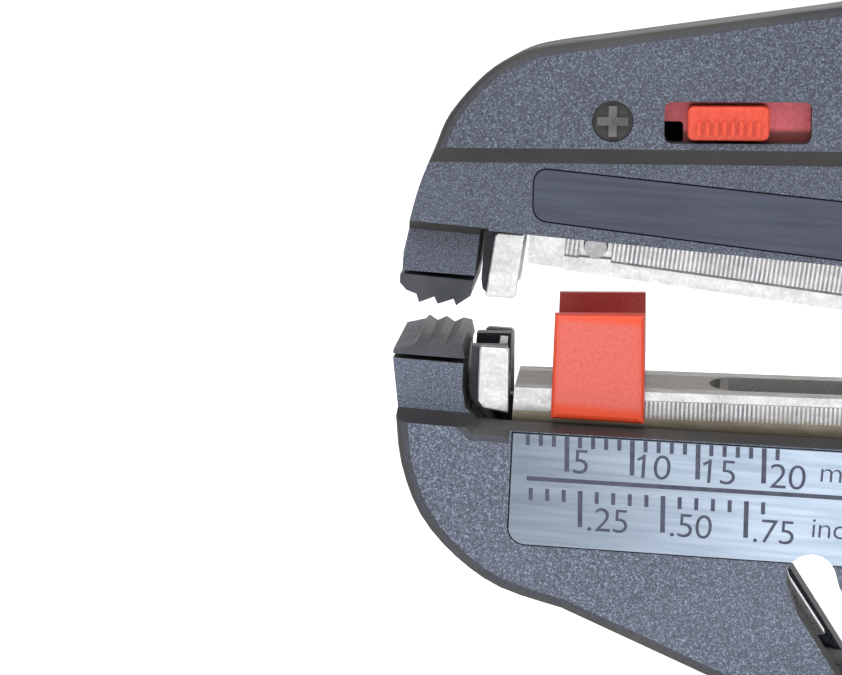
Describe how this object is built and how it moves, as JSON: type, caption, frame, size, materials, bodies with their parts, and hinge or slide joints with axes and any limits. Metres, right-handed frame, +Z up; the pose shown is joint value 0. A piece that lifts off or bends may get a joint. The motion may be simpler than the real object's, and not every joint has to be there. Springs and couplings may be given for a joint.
{
  "type": "self-adjusting wire stripper",
  "caption": "Self-adjusting wire stripper with toothed grip jaws, sliding blade holders, a red length stop, a scale, a side cable cutter and sprung handles.",
  "frame": {"origin": "centre of the overall bounding box in plan, on the plane that the lower handle stands on", "axes": "+X from the nose towards the handles, +Y from the scale side towards the rear side, +Z up"},
  "size_m": [0.2006, 0.0176, 0.101],
  "materials": {
    "housing_blue": "satin, glass-filled grain",
    "jaw_steel": "satin, blued",
    "bright_steel": "satin",
    "blade_steel": "ground",
    "stop_red": "satin",
    "scale_blue": "brushed, printed",
    "label_blue": "brushed",
    "grip_rubber": "matte",
    "screw_zinc": "zinc plated"
  },
  "bodies": {
    "lower_body": {"lower_front_shell": "housing_blue", "lower_rear_shell": "housing_blue", "lower_grip_jaw": "jaw_steel", "scale_plate": "scale_blue", "lower_guide_rail": "bright_steel", "fixed_cutter_blade": "blade_steel", "pivot_stud_front": "bright_steel", "pivot_stud_rear": "bright_steel", "lever_pivot_pin": "bright_steel", "return_spring": "bright_steel", "housing_screw_1": "screw_zinc", "housing_screw_2": "screw_zinc", "housing_screw_3": "screw_zinc", "housing_screw_4": "screw_zinc", "lower_handle_grip": "grip_rubber"},
    "upper_jaw": {"upper_front_shell": "housing_blue", "upper_rear_shell": "housing_blue", "upper_grip_jaw": "jaw_steel", "label_plate": "label_blue", "upper_guide_rail": "bright_steel", "jaw_screw_1": "screw_zinc", "jaw_screw_2": "screw_zinc", "jaw_screw_3": "screw_zinc"},
    "depth_slide": {"adjust_slider": "stop_red"},
    "upper_bar": {"upper_drawbar": "bright_steel", "upper_blade_holder": "jaw_steel", "upper_cheek_front": "bright_steel", "upper_cheek_rear": "bright_steel", "upper_blade": "blade_steel", "upper_bar_pin": "bright_steel"},
    "lower_bar": {"lower_drawbar": "bright_steel", "lower_blade_holder": "jaw_steel", "lower_cheek_front": "bright_steel", "lower_cheek_rear": "bright_steel", "lower_blade": "blade_steel", "moving_cutter_blade": "blade_steel"},
    "stop": {"length_stop": "stop_red"},
    "lever": {"lever_core": "bright_steel", "lever_bush": "screw_zinc", "drive_pin": "blade_steel", "lever_front_shell": "housing_blue", "lever_rear_shell": "housing_blue", "lever_screw_1": "screw_zinc", "lever_screw_2": "screw_zinc", "upper_handle_grip": "grip_rubber"},
    "sledge": {"carriage": "bright_steel", "cross_pin": "blade_steel"}
  },
  "joints": [
    {"name": "jaw_hinge", "type": "hinge", "parent": "lower_body", "child": "upper_jaw", "pos_m": [-0.0277, 0, 0.05], "axis": [0, 1, 0], "range_deg": [-2.3, 6]},
    {"name": "depth_adjust", "type": "slide", "parent": "upper_jaw", "child": "depth_slide", "axis": [0.9973, 0, 0.0732], "range_m": [-0.0015, 0.003]},
    {"name": "lever_squeeze", "type": "hinge", "parent": "lower_body", "child": "lever", "pos_m": [0.0023, 0, 0.012], "axis": [0, 1, 0], "range_deg": [0, 24], "stiffness_Nm_per_rad": 1, "springref_deg": -28.65, "deforming": ["return_spring"]},
    {"name": "sledge_slide", "type": "slide", "parent": "lower_body", "child": "sledge", "axis": [1, 0, 0], "range_m": [0, 0.0162]},
    {"name": "lower_bar_slide", "type": "slide", "parent": "lower_body", "child": "lower_bar", "axis": [0.9986, 0, 0.0523], "range_m": [0, 0.0162]},
    {"name": "upper_bar_slide", "type": "slide", "parent": "upper_jaw", "child": "upper_bar", "axis": [0.9981, 0, -0.061], "range_m": [0, 0.0162]},
    {"name": "stop_slide", "type": "slide", "parent": "lower_bar", "child": "stop", "axis": [0.9986, 0, 0.0523], "range_m": [-0.0005, 0.0145]}
  ],
  "couplings": [
    {"joint": "sledge_slide", "follows": "lever_squeeze", "m_per_rad": 0.0385},
    {"joint": "lower_bar_slide", "follows": "lever_squeeze", "m_per_rad": 0.0385},
    {"joint": "upper_bar_slide", "follows": "lever_squeeze", "m_per_rad": 0.0385}
  ]
}
